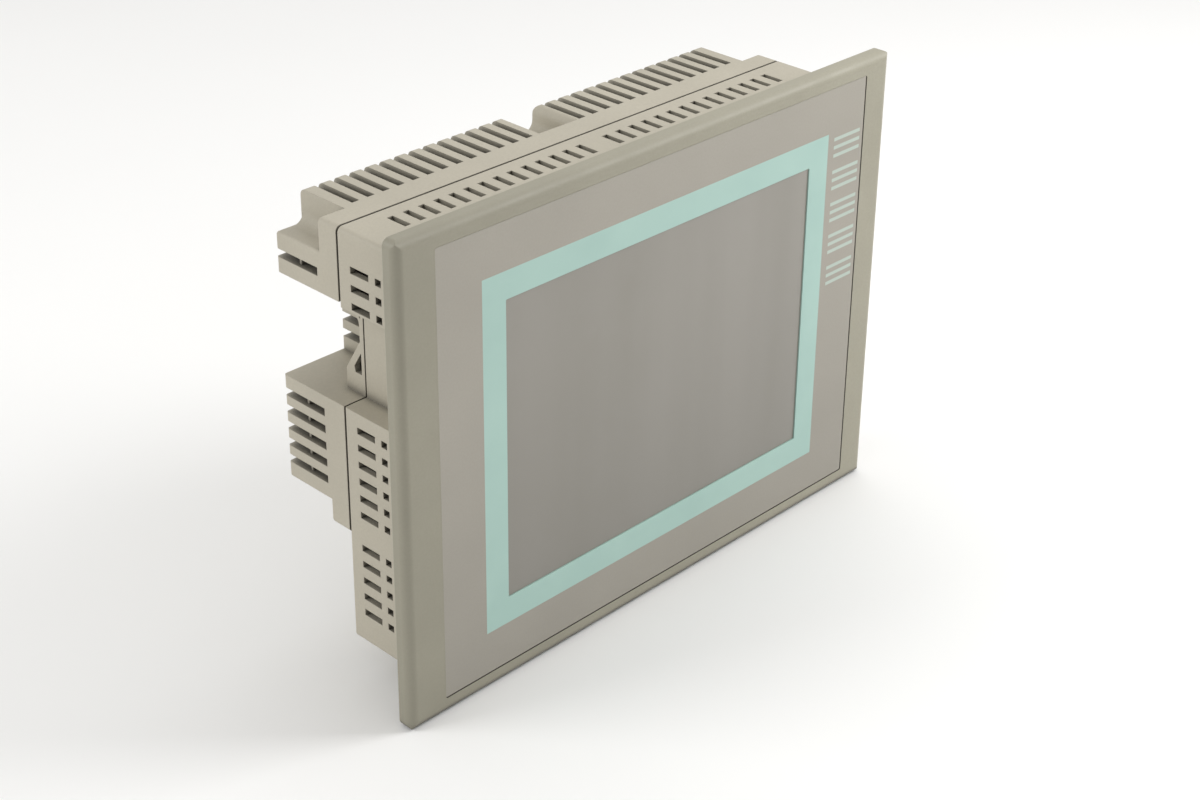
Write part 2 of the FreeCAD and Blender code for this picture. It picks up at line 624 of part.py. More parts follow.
# ---- openings in the rear cover for the connectors ----------------------------------------

POWER_W = 17.0
POWER_Y = (44.4, 53.6)
SERIAL_W = 31.4
SERIAL_D = 13.0
SERIAL_Y = 52.0
ETHERNET_W = 16.0
ETHERNET_D = 13.4
USB_W = 14.4
USB_D = 7.0
PORT_Y0 = 44.2
DIP_W = 4 * DIP_PITCH + 1.6
DIP_D = 6.2


def port_window(x, width, y0, y1):
    """The hole in the cover's lower wall for one connector."""
    gap = 0.3
    z0, z1 = DEEP_BOTTOM - 2, DEEP_BOTTOM + WALL + 2
    return box(x - width / 2 - gap, x + width / 2 + gap, y0 - gap, y1 + gap, z0, z1)


def connector_windows():
    windows = [
        port_window(POWER_X, POWER_W, POWER_Y[0], POWER_Y[1]),
        port_window(SERIAL_X, SERIAL_W, SERIAL_Y - SERIAL_D / 2, SERIAL_Y + SERIAL_D / 2),
        port_window(ETHERNET_X, ETHERNET_W, PORT_Y0, PORT_Y0 + ETHERNET_D),
        port_window(DIP_X, DIP_W, PORT_Y0, PORT_Y0 + DIP_D),
    ]
    windows += [port_window(x, USB_W, PORT_Y0, PORT_Y0 + USB_D) for x in USB_XS]
    card_z = CARD_W / 2 + CARD_GAP
    card_y = CARD_T / 2 + CARD_GAP
    windows.append(box(HALF_W - WALL - 1, HALF_W + 1, CARD_Y - card_y, CARD_Y + card_y,
                       CARD_Z - card_z, CARD_Z + card_z))
    return windows


# ---- main board and what is on it ---------------------------------------------------------

def make_main_board():
    board = box(-BOARD_HALF_W, BOARD_HALF_W, BOARD_Y[0], BOARD_Y[1], BOARD_Z[0], BOARD_Z[1])
    tab = box(BOARD_HALF_W - 1, CARD_TAB_X, BOARD_Y[0], BOARD_Y[1], BOARD_Z[0], CARD_TAB_TOP)
    board = fuse([board, tab])
    return cut(board, [rod(SCREW_HOLE_R, x, z, 40, 44) for x, z in BOARD_POSTS])


def standoffs(places, y0, y1, across, bore_r):
    made = []
    for x, z in places:
        made.append(hexagon(across, V(x, y0, z), Y_AXIS, y1 - y0).cut(rod(bore_r, x, z, y0, y1)))
    return group(made)


def make_heat_sink():
    base = box(-20, 20, 45.0, 48.0, 8, 48)
    fins = [box(-20 + 5.4 * i, -18 + 5.4 * i, 48.0, 58.0, 8, 48) for i in range(8)]
    return fuse([base] + fins)


def make_chips():
    tall = [(-48, 44), (-48, 22), (36, 40), (36, 18)]
    chips = [(x, z, 11, 17) for x, z in tall] + [(56, 30, 10, 10), (-8, -4, 20, 14)]
    y0 = BOARD_Y[1]
    return group(box(x - w / 2, x + w / 2, y0, y0 + 1.1, z - h / 2, z + h / 2) for x, z, w, h in chips)


def make_capacitors():
    return group(rod(4.0, x, 0.5, BOARD_Y[1], BOARD_Y[1] + 11) for x in (-66.0, -56.5, -47.0))


def make_inductor():
    ring = rod(6.0, -34.0, 0.5, BOARD_Y[1], BOARD_Y[1] + 5.5)
    return ring.cut(rod(2.4, -34.0, 0.5, BOARD_Y[1] + 1.5, BOARD_Y[1] + 6))


CELL_X = 60.0
CELL_Z = 6.0


def make_cell_holder():
    body = rod(12.4, CELL_X, CELL_Z, BOARD_Y[1], BOARD_Y[1] + 5.6)
    body = body.cut(rod(10.25, CELL_X, CELL_Z, BOARD_Y[1] + 1.4, BOARD_Y[1] + 6))
    return body.cut(box(CELL_X - 5, CELL_X + 5, BOARD_Y[1] + 1.4, BOARD_Y[1] + 6, CELL_Z, CELL_Z + 14))


def make_coin_cell():
    cell = rod(10.0, CELL_X, CELL_Z, BOARD_Y[1] + 1.5, BOARD_Y[1] + 4.7)
    return cell.makeFillet(0.4, along_y(cell, BOARD_Y[1] + 4.7))


def make_power_header():
    x0, x1 = POWER_X - POWER_W / 2, POWER_X + POWER_W / 2
    y0, y1 = POWER_Y
    z0, z1 = DEEP_BOTTOM + 0.4, DEEP_BOTTOM + 12.4
    body = box(x0, x1, BOARD_Y[1], y1, z1 - 3.4, z1)
    sleeve = box(x0, x1, y0, y1, z0, z1)
    cavity = box(x0 + 0.9, x1 - 0.9, y0 + 0.9, y1 - 0.9, z0 - 1, z1 - 3.0)
    pins = [box(x - 0.5, x + 0.5, 48.5, 49.5, z1 - 4, z1 + 1) for x in terminal_xs()]
    return cut(fuse([body, sleeve]), [cavity] + pins)


def terminal_xs():
    return [POWER_X + (i - 1) * TERMINAL_PITCH for i in range(3)]


def make_power_pins():
    z1 = DEEP_BOTTOM + 12.4
    made = []
    for x in terminal_xs():
        blade = box(x - 0.5, x + 0.5, 48.5, 49.5, z1 - 10.0, z1 + 1.0)
        foot = box(x - 0.5, x + 0.5, BOARD_Y[1], 49.5, z1, z1 + 1.0)
        made.append(fuse([blade, foot]))
    return group(made)


BLOCK_TOP = DEEP_BOTTOM + 9.0
BLOCK_BOTTOM = DEEP_BOTTOM - 11.0


def make_terminal_block():
    w = POWER_W - 1.8 - 0.6
    x0, x1 = POWER_X - w / 2, POWER_X + w / 2
    y0, y1 = POWER_Y[0] + 1.2, POWER_Y[1] - 1.2
    neck = box(x0, x1, y0, y1, DEEP_BOTTOM, BLOCK_TOP)
    head = box(x0, x1, y0, y1 + 5.0, BLOCK_BOTTOM, DEEP_BOTTOM - 1.0)
    z1 = DEEP_BOTTOM - 1.0
    slope = prism_x([(y1 - 0.5, z1), (y1 + 5.0, z1), (y1 + 5.0, z1 - 3.0)], x0, x1)
    body = fuse([neck, head.cut(slope), box(x0, x1, y0, y1, DEEP_BOTTOM - 1.5, DEEP_BOTTOM + 0.5)])
    sockets = [box(x - 0.9, x + 0.9, 48.1, 49.9, BLOCK_TOP - 8.5, BLOCK_TOP + 1) for x in terminal_xs()]
    entries = [box(x - 1.6, x + 1.6, 47.2, 50.4, BLOCK_BOTTOM - 1, BLOCK_BOTTOM + 5) for x in terminal_xs()]
    wells = [rod(1.9, x, BLOCK_BOTTOM + 4.0, y1 + 2.2, y1 + 6) for x in terminal_xs()]
    shafts = [rod(1.4, x, BLOCK_BOTTOM + 4.0, 49.5, y1 + 6) for x in terminal_xs()]
    return cut(body, sockets + entries + wells + shafts)


def make_terminal_screws():
    y1 = POWER_Y[1] - 1.2
    return screws([(x, BLOCK_BOTTOM + 4.0) for x in terminal_xs()], y1 + 2.2, 50.6, 1.85, 1.35, 1.5)


def d_outline(width, depth, z0, z1):
    """The D outline of a serial port, wider at the front side, centred on the port."""
    x, y = SERIAL_X, SERIAL_Y
    lean = depth * math.tan(math.radians(10))
    points = [(x - width / 2, y - depth / 2), (x + width / 2, y - depth / 2),
              (x + width / 2 - lean, y + depth / 2), (x - width / 2 + lean, y + depth / 2)]
    solid = prism_z(points, z0, z1)
    return solid.makeFillet(2.0, [e for e in solid.Edges if abs(e.BoundBox.ZLength - (z1 - z0)) < 1e-3
                                  and e.BoundBox.XLength < 1e-3])


PORT_BOTTOM = DEEP_BOTTOM + 0.4


def make_serial_shell():
    z0 = PORT_BOTTOM
    flange = box(SERIAL_X - SERIAL_W / 2, SERIAL_X + SERIAL_W / 2,
                 SERIAL_Y - SERIAL_D / 2, SERIAL_Y + SERIAL_D / 2, z0, z0 + 0.8)
    shell = d_outline(17.0, 8.6, z0 - 5.4, z0 + 0.8)
    body = fuse([flange, shell])
    holes = [post(1.6, x, SERIAL_Y, z0 - 1, z0 + 2) for x in jackscrew_xs()]
    return cut(body, [d_outline(16.2, 7.8, z0 - 6, z0 + 1)] + holes)


def jackscrew_xs():
    return [SERIAL_X + s * JACKSCREW_SPACING / 2 for s in (-1, 1)]


def make_serial_insert():
    z0 = PORT_BOTTOM
    plug = d_outline(16.1, 7.7, z0 - 5.2, z0 + 0.8)
    block = box(SERIAL_X - 15.4, SERIAL_X + 15.4, SERIAL_Y - 6.2, SERIAL_Y + 6.2, z0 + 0.8, z0 + 6.8)
    foot = box(SERIAL_X - 12, SERIAL_X + 12, BOARD_Y[1], SERIAL_Y - 6.2, z0 + 3.0, z0 + 8.0)
    brace = box(SERIAL_X - 12, SERIAL_X + 12, SERIAL_Y - 6.2, SERIAL_Y + 2.0, z0 + 6.8, z0 + 8.0)
    body = fuse([plug, block, foot, brace])
    holes = [post(0.55, SERIAL_X + (i - 2) * 2.74, SERIAL_Y - 1.42, z0 - 6, z0 - 1) for i in range(5)]
    holes += [post(0.55, SERIAL_X + (i - 1.5) * 2.74, SERIAL_Y + 1.42, z0 - 6, z0 - 1) for i in range(4)]
    holes += [post(1.6, x, SERIAL_Y, z0, z0 + 7) for x in jackscrew_xs()]
    return cut(body, holes)


def make_jackscrews():
    made = []
    for x in jackscrew_xs():
        nut = hexagon(4.8, V(x, SERIAL_Y, PORT_BOTTOM - 5.0), V(0, 0, 1), 5.0)
        tail = post(1.4, x, SERIAL_Y, PORT_BOTTOM, PORT_BOTTOM + 5.5)
        made.append(fuse([nut, tail]).cut(post(1.1, x, SERIAL_Y, PORT_BOTTOM - 5.0, PORT_BOTTOM + 1.0)))
    return group(made)


def make_ethernet_jack():
    z0 = PORT_BOTTOM
    body = box(ETHERNET_X - ETHERNET_W / 2, ETHERNET_X + ETHERNET_W / 2,
               PORT_Y0, PORT_Y0 + ETHERNET_D, z0, z0 + 18)
    foot = box(ETHERNET_X - 6, ETHERNET_X + 6, BOARD_Y[1], PORT_Y0, z0 + 6, z0 + 17)
    cavity = box(ETHERNET_X - 5.9, ETHERNET_X + 5.9, PORT_Y0 + 2.0, PORT_Y0 + 9.6, z0 - 1, z0 + 12)
    latch = box(ETHERNET_X - 3.1, ETHERNET_X + 3.1, PORT_Y0 + 9.5, PORT_Y0 + 11.4, z0 - 1, z0 + 9)
    return cut(fuse([body, foot]), [cavity, latch])


def make_ethernet_contacts():
    z0 = PORT_BOTTOM
    made = []
    for i in range(8):
        x = ETHERNET_X + (i - 3.5) * 1.02
        made.append(prism_x([(PORT_Y0 + 2.0, z0 + 2.0), (PORT_Y0 + 2.0, z0 + 2.6), (PORT_Y0 + 4.2, z0 + 9.5),
                             (PORT_Y0 + 4.5, z0 + 9.2)], x - 0.23, x + 0.23))
    return group(made)


def make_usb_shells():
    z0 = PORT_BOTTOM
    made = []
    half = USB_W / 2
    for x in USB_XS:
        shell = box(x - half, x + half, PORT_Y0, PORT_Y0 + USB_D, z0, z0 + 14)
        cavity = box(x - half + 0.5, x + half - 0.5, PORT_Y0 + 0.5, PORT_Y0 + USB_D - 0.5, z0 - 1, z0 + 13.5)
        foot = box(x - 5, x + 5, BOARD_Y[1], PORT_Y0, z0 + 6, z0 + 13)
        made.append(cut(fuse([shell, foot]), [cavity]))
    return group(made)


def make_usb_tongues():
    z0 = PORT_BOTTOM
    made = []
    half = USB_W / 2 - 0.5
    for x in USB_XS:
        back = box(x - half, x + half, PORT_Y0 + 0.5, PORT_Y0 + USB_D - 0.5, z0 + 11, z0 + 13.5)
        tongue = box(x - 5.6, x + 5.6, PORT_Y0 + 4.2, PORT_Y0 + 6.0, z0 + 2.0, z0 + 11.5)
        made.append(fuse([back, tongue]))
    return group(made)


# ---- configuration switch -----------------------------------------------------------------

SLIDER_H = 1.3
SLIDER_TRAVEL = 1.3
SLIDER_GAP = 0.3
DIP_SLOT_Y = (PORT_Y0 + 1.6, PORT_Y0 + 1.6 + SLIDER_H + SLIDER_TRAVEL + 2 * SLIDER_GAP)


def dip_xs():
    return [DIP_X + (i - 1.5) * DIP_PITCH for i in range(4)]


def make_dip_body():
    z0 = PORT_BOTTOM
    body = box(DIP_X - DIP_W / 2, DIP_X + DIP_W / 2, PORT_Y0, PORT_Y0 + DIP_D, z0, z0 + 7)
    foot = box(DIP_X - 4.6, DIP_X + 4.6, BOARD_Y[1], PORT_Y0, z0 + 3, z0 + 6.5)
    slots = [box(x - 0.8, x + 0.8, DIP_SLOT_Y[0], DIP_SLOT_Y[1], z0 - 1, z0 + 2.2) for x in dip_xs()]
    return cut(fuse([body, foot]), slots)


def make_dip_slider(x):
    y0 = DIP_SLOT_Y[0] + SLIDER_GAP
    return box(x - 0.55, x + 0.55, y0, y0 + SLIDER_H, PORT_BOTTOM - 0.5, PORT_BOTTOM + 1.9)


# ---- memory card --------------------------------------------------------------------------

CARD_X1 = HALF_W + CARD_OUT
CARD_X0 = CARD_X1 - CARD_L
READER_X = (CARD_X0 - 3.0, CARD_TAB_X + 0.5)


def make_card_reader():
    top = CARD_Y + CARD_T / 2 + CARD_GAP
    low = CARD_Y - CARD_T / 2 - CARD_GAP
    half = CARD_W / 2 + CARD_GAP
    body = box(READER_X[0], READER_X[1], low - 0.5, BOARD_Y[0], CARD_Z - half - 1.2, CARD_Z + half + 1.2)
    slot = box(CARD_X0 - 0.4, READER_X[1] + 1, low, top, CARD_Z - half, CARD_Z + half)
    thumb = box(READER_X[1] - 7, READER_X[1] + 1, low - 1, low + 0.1, CARD_Z - 7, CARD_Z + 7)
    return cut(body, [slot, thumb])


def make_memory_card():
    y0, y1 = CARD_Y - CARD_T / 2, CARD_Y + CARD_T / 2
    z0, z1 = CARD_Z - CARD_W / 2, CARD_Z + CARD_W / 2
    corner = 4.0
    outline = [V(CARD_X0 + corner, y0, z0), V(CARD_X1, y0, z0), V(CARD_X1, y0, z1), V(CARD_X0, y0, z1),
               V(CARD_X0, y0, z0 + corner), V(CARD_X0 + corner, y0, z0)]
    card = Part.Face(Part.makePolygon(outline)).extrude(V(0, y1 - y0, 0))
    contacts = [box(CARD_X0 + 1.2, CARD_X0 + 5.2, y0 - 1, y0 + 0.25, z, z + 1.6)
                for z in [z0 + 5.0 + 2.4 * i for i in range(7)]]
    grip_xs = [CARD_X1 - 2.2, CARD_X1 - 3.4]
    grip = [box(x, x + 0.5, y0 - 1, y0 + 0.2, z0 + 5, z1 - 5) for x in grip_xs]
    return cut(card, contacts + grip)


# ---- display cable ------------------------------------------------------------------------

def make_display_cable():
    t = 0.3
    return fuse([
        box(-11, 11, LCD_Y[1] + 2.0, 24.0, -1.0, -1.0 + t),
        box(-11, 11, 24.0 - t, 24.0, -1.0, 6.0),
        box(-11, 11, 24.0 - t, 37.5, 6.0 - t, 6.0),
    ])


def make_cable_sockets():
    low = box(-13, 13, LCD_Y[1], LCD_Y[1] + 2.0, -3.0, 2.0)
    high = box(-13, 13, 37.5, BOARD_Y[0], 4.0, 8.0)
    return group([low, high])


# ---- protective earth ---------------------------------------------------------------------

def make_earth_stud():
    inner = SEAM_Y - WALL
    head = rod(4.0, EARTH_X, EARTH_Z, inner - 2.4, inner)
    shank = rod(2.0, EARTH_X, EARTH_Z, inner, 40.2)
    relief = rod(1.7, EARTH_X, EARTH_Z, 40.2, 41.0)
    free = rod(2.0, EARTH_X, EARTH_Z, 41.0, 48.0)
    return fuse([head, shank, relief, free])


def make_earth_washer():
    disc = rod(4.4, EARTH_X, EARTH_Z, SEAM_Y, SEAM_Y + 0.9)
    return disc.cut(rod(2.0, EARTH_X, EARTH_Z, SEAM_Y, SEAM_Y + 0.9))


def make_earth_nut():
    y0 = SEAM_Y + 0.9
    return hexagon(7.0, V(EARTH_X, y0, EARTH_Z), Y_AXIS, 3.2).cut(rod(2.0, EARTH_X, EARTH_Z, y0, y0 + 3.2))


# ---- every piece --------------------------------------------------------------------------

save("front_frame", make_front_frame())
save("panel_seal", make_seal())
save("front_film", make_film())
save("touch_film", make_touch_film())
save("touch_glass", make_touch_glass())
save("touch_tail", make_touch_tail())
save("touch_socket", make_touch_socket())
save("lcd_frame", make_lcd_frame())
save("lcd_glass", make_lcd_glass())
save("diffuser_sheet", make_diffuser())
save("light_guide", make_light_guide())
save("backlight_lamps", make_lamps())
save("lamp_holders", make_lamp_ends())
save("lcd_tray", make_lcd_tray())
save("lcd_spacers", make_lcd_spacers())
save("lcd_screws", screws(LCD_EARS, PLATE_Y[1], LCD_Y[1] - 0.5, 2.4, PILOT_R, 1.8))
save("carrier_plate", make_carrier_plate())
save("carrier_screws", screws(PLATE_POSTS, PLATE_Y[1], 0.0, 2.4, PILOT_R, 1.8))
save("inverter_board", make_inverter_board())
save("inverter_parts", make_inverter_parts())
save("inverter_spacers", standoffs(INVERTER_POSTS, PLATE_Y[1], 14.0, 5.0, PILOT_R))
save("inverter_screws", screws(INVERTER_POSTS, 15.6, 10.5, 2.4, PILOT_R, 1.8))
save("lamp_leads", make_lamp_leads())
save("front_housing", make_front_housing())
save("flange_screws", screws(FLANGE_SCREWS, FLANGE_T, -4.0, HEAD_R, PILOT_R, 1.9))
save("rear_cover", make_rear_cover())
save("rear_screws", screws(REAR_SCREWS, SHOULDER_Y - 3.2, 24.0, HEAD_R, PILOT_R, 1.9))
save("main_board", make_main_board())
save("board_standoffs", standoffs(BOARD_POSTS, PLATE_Y[1], BOARD_Y[0], 5.5, PILOT_R))
save("board_screws", screws(BOARD_POSTS, BOARD_Y[1], 34.0, 2.4, PILOT_R, 1.8))
save("processor", box(-13.5, 13.5, BOARD_Y[1], 45.0, 14.5, 41.5))
save("heat_sink", make_heat_sink())
save("board_chips", make_chips())
save("power_capacitors", make_capacitors())
save("power_inductor", make_inductor())
save("cell_holder", make_cell_holder())
save("coin_cell", make_coin_cell())
save("power_header", make_power_header())
save("power_pins", make_power_pins())
save("terminal_block", make_terminal_block())
save("terminal_screws", make_terminal_screws())
save("serial_shell", make_serial_shell())
save("serial_insert", make_serial_insert())
save("serial_jackscrews", make_jackscrews())
save("ethernet_jack", make_ethernet_jack())
save("ethernet_contacts", make_ethernet_contacts())
save("usb_shells", make_usb_shells())
save("usb_tongues", make_usb_tongues())
save("dip_switch_body", make_dip_body())
for number, slider_x in enumerate(dip_xs(), 1):
    save(f"dip_slider_{number}", make_dip_slider(slider_x))
save("card_reader", make_card_reader())
save("memory_card", make_memory_card())
save("display_cable", make_display_cable())
save("cable_sockets", make_cable_sockets())
save("earth_stud", make_earth_stud())
save("earth_washer", make_earth_washer())
save("earth_nut", make_earth_nut())
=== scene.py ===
import json
import math

import bpy
from mathutils import Matrix, Vector


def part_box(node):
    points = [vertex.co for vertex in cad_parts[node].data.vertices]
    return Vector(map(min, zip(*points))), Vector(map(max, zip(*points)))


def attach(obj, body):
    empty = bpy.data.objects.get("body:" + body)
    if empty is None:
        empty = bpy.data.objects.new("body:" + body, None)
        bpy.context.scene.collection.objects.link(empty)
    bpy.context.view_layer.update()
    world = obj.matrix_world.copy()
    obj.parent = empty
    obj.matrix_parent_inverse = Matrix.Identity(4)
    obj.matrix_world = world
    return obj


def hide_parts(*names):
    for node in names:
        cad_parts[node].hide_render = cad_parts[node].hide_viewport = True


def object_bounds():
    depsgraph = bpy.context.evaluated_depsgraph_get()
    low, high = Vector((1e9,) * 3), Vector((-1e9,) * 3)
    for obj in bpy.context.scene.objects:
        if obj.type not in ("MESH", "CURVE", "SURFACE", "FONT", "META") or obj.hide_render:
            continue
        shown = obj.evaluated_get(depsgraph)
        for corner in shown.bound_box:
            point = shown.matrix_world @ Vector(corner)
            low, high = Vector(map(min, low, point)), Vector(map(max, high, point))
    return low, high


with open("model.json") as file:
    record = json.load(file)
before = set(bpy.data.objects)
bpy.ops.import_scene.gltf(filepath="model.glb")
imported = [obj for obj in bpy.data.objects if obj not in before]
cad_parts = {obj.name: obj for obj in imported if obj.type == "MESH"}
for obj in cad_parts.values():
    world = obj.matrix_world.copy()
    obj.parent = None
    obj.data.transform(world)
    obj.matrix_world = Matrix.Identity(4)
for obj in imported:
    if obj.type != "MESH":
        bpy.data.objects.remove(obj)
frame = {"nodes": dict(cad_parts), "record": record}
cad_low, cad_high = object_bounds()

# ---- sizes, in metres ----------------------------------------------------------------------

MM = 0.001
DISPLAY_W = 151 * MM
DISPLAY_H = 113 * MM
BORDER = 10.2 * MM              # width of the aqua border printed round the display
MARK_X = (89.5 * MM, 104.4 * MM)
MARK_Z = (4.0 * MM, 69.0 * MM)
MARK_GROUPS = 5
MARK_LINES = 3
MARK_FILL = 0.42                # part of each line's pitch that is printed

# ---- camera --------------------------------------------------------------------------------

CAMERA_AZIMUTH = -45.94
CAMERA_ELEVATION = 26.19
CAMERA_ROLL = 0.67
CAMERA_DISTANCE = 0.76
CAMERA_TARGET = Vector((-0.0013, 0.0237, 0.0270))
CAMERA_LENS = 64.55
CAMERA_SHIFT_Y = -0.1


def make_camera():
    a, e = math.radians(CAMERA_AZIMUTH), math.radians(CAMERA_ELEVATION)
    back = Vector((math.sin(a) * math.cos(e), -math.cos(a) * math.cos(e), math.sin(e)))
    data = bpy.data.cameras.new("camera")
    data.sensor_width = 36.0
    data.lens = CAMERA_LENS
    data.shift_y = CAMERA_SHIFT_Y
    camera = bpy.data.objects.new("camera", data)
    bpy.context.scene.collection.objects.link(camera)
    turn = (-back).to_track_quat("-Z", "Y").to_matrix()
    roll = Matrix.Rotation(math.radians(CAMERA_ROLL), 3, "Z")
    camera.matrix_world = Matrix.Translation(CAMERA_TARGET + CAMERA_DISTANCE * back) @ (turn @ roll).to_4x4()
    bpy.context.scene.camera = camera


# ---- node helpers --------------------------------------------------------------------------

class Graph:
    """A material's nodes, with short calls for the ones that repeat."""

    def __init__(self, name):
        self.material = bpy.data.materials.new(name)
        self.material.use_nodes = True
        self.tree = self.material.node_tree
        self.shader = self.tree.nodes["Principled BSDF"]
        self.place = self.node("TexCoord").outputs["Object"]

    def node(self, kind, **settings):
        made = self.tree.nodes.new("ShaderNode" + kind)
        for key, value in settings.items():
            setattr(made, key, value)
        return made

    def put(self, socket, value):
        """A number or colour is set on the socket, and another node's output is linked to it."""
        if isinstance(value, bpy.types.NodeSocket):
            self.tree.links.new(value, socket)
        elif isinstance(value, tuple) and len(value) == 3 and socket.type == "RGBA":
            socket.default_value = (*value, 1.0)
        else:
            socket.default_value = value

    def set(self, **sockets):
        for key, value in sockets.items():
            self.put(self.shader.inputs[key.replace("_", " ")], value)

    def math(self, operation, a, b=0.0, clamp=False):
        made = self.node("Math", operation=operation, use_clamp=clamp)
        self.put(made.inputs[0], a)
        self.put(made.inputs[1], b)
        return made.outputs[0]

    def axis(self, name):
        made = self.node("SeparateXYZ")
        self.put(made.inputs[0], self.place)
        return made.outputs[name]

    def stretched(self, scale):
        made = self.node("VectorMath", operation="MULTIPLY")
        self.put(made.inputs[0], self.place)
        made.inputs[1].default_value = scale
        return made.outputs[0]

    def noise(self, size, detail=3.0, roughness=0.5, stretch=None):
        """Noise from 0 to 1 whose features are about size metres across."""
        made = self.node("TexNoise")
        self.put(made.inputs["Vector"], self.stretched(stretch) if stretch else self.place)
        made.inputs["Scale"].default_value = 1.0 / size
        made.inputs["Detail"].default_value = detail
        made.inputs["Roughness"].default_value = roughness
        return made.outputs["Fac"]

    def cells(self, size, feature="F1"):
        made = self.node("TexVoronoi", feature=feature)
        self.put(made.inputs["Vector"], self.place)
        made.inputs["Scale"].default_value = 1.0 / size
        return made.outputs["Distance"]

    def span(self, value, low, high, to_low=0.0, to_high=1.0):
        made = self.node("MapRange")
        self.put(made.inputs["Value"], value)
        made.inputs["From Min"].default_value = low
        made.inputs["From Max"].default_value = high
        made.inputs["To Min"].default_value = to_low
        made.inputs["To Max"].default_value = to_high
        return made.outputs["Result"]

    def mix(self, factor, a, b, blend="MIX"):
        made = self.node("Mix", data_type="RGBA", blend_type=blend)
        self.put(made.inputs[0], factor)
        self.put(made.inputs[6], a)
        self.put(made.inputs[7], b)
        return made.outputs[2]

    def soft_normal(self, radius):
        """The normal, as if each edge were rounded by radius."""
        made = self.node("Bevel", samples=4)
        made.inputs["Radius"].default_value = radius
        return made.outputs["Normal"]

    def edges(self, soft, gain=5.0):
        """1 on sharp edges and 0 on flat faces."""
        facing = self.node("VectorMath", operation="DOT_PRODUCT")
        self.put(facing.inputs[0], soft)
        self.put(facing.inputs[1], self.node("NewGeometry").outputs["Normal"])
        return self.math("MULTIPLY", self.math("SUBTRACT", 1.0, facing.outputs["Value"]), gain, clamp=True)

    def openness(self, reach):
        """1 on open faces, less in slots and corners that are narrower than reach."""
        made = self.node("AmbientOcclusion", samples=6)
        made.inputs["Distance"].default_value = reach
        return made.outputs["AO"]

    def bump(self, height, depth, normal=None):
        """Relief whose full height is depth metres."""
        made = self.node("Bump")
        made.inputs["Distance"].default_value = depth
        self.put(made.inputs["Height"], height)
        if normal is not None:
            self.put(made.inputs["Normal"], normal)
        return made.outputs["Normal"]


def times(colour, factor):
    return tuple(min(1.0, c * factor) for c in colour)


def near(graph, value, centre, half):
    """1 where value is within half of centre."""
    made = graph.node("Math", operation="COMPARE")
    graph.put(made.inputs[0], value)
    made.inputs[1].default_value = centre
    made.inputs[2].default_value = half
    return made.outputs[0]


# ---- materials -----------------------------------------------------------------------------

SLOT_REACH = 5 * MM             # slots and corners narrower than this get painted shade
SLOT_SHADE = 0.20               # how much of the colour is left deep inside them under the painted shade


def moulded(name, colour, rough=0.55, grain=0.7 * MM, depth=0.03 * MM, edge=0.4 * MM, wear=0.35, blotch=0.05,
            painted_side_light=None):
    """Spark-eroded moulded plastic: fine grain, faint flow blotches, lighter rubbed edges and painted shade
    in slots and corners.

    The last argument gives the strength of the colour at the left and at the right end of the object: painted
    light and shade graded along its length."""
    g = Graph(name)
    soft = g.soft_normal(edge)
    worn = g.math("MULTIPLY", g.edges(soft), g.span(g.noise(6 * MM, 4.0), 0.35, 0.75), clamp=True)
    broad = g.noise(45 * MM, 3.0)
    speck = g.noise(0.9 * MM, 2.0)
    base = g.mix(g.span(broad, 0.3, 0.7), times(colour, 1 - blotch), times(colour, 1 + blotch))
    # painted light and shade: the colour is graded from the left end of the object to the right end
    if painted_side_light:
        across = g.span(g.axis("X"), cad_low.x, cad_high.x)
        base = g.mix(1.0, base, g.mix(across, (painted_side_light[0],) * 3, (painted_side_light[1],) * 3), "MULTIPLY")
    base = g.mix(g.span(speck, 0.35, 0.65, 0.0, 0.16), base, times(colour, 0.72))
    base = g.mix(g.math("MULTIPLY", worn, wear), base, times(colour, 1.35))
    # painted shade: the colour darkens toward SLOT_SHADE in slots and corners, by ambient occlusion
    base = g.mix(g.span(g.openness(SLOT_REACH), 0.35, 0.85), times(colour, SLOT_SHADE), base)
    g.set(Base_Color=base)
    g.set(Roughness=g.span(g.noise(14 * MM, 4.0), 0.25, 0.75, rough - 0.05, rough + 0.07))
    relief = g.math("ADD", g.noise(grain, 2.0), g.math("MULTIPLY", g.cells(grain * 1.6), 0.6))
    g.set(Normal=g.bump(relief, depth, soft))
    g.shader.inputs["Specular IOR Level"].default_value = 0.4
    return g.material


TAUPE = ((0.338, 0.316, 0.272), (0.364, 0.340, 0.293))
TAUPE_SPECK = (0.25, 0.235, 0.21)
AQUA = ((0.352, 0.520, 0.470), (0.384, 0.555, 0.500))
MARK_COLOUR = (0.46, 0.56, 0.50)
DISPLAY_GREY = ((0.240, 0.226, 0.195), (0.268, 0.252, 0.222))
DISPLAY_HAZE = (0.30, 0.284, 0.262)
FOOT_SHADE = (0.16, 0.152, 0.136)   # painted shade that film and display darken toward at their lower edge
FOOT_Z = (-DISPLAY_H / 2, DISPLAY_H / 4)


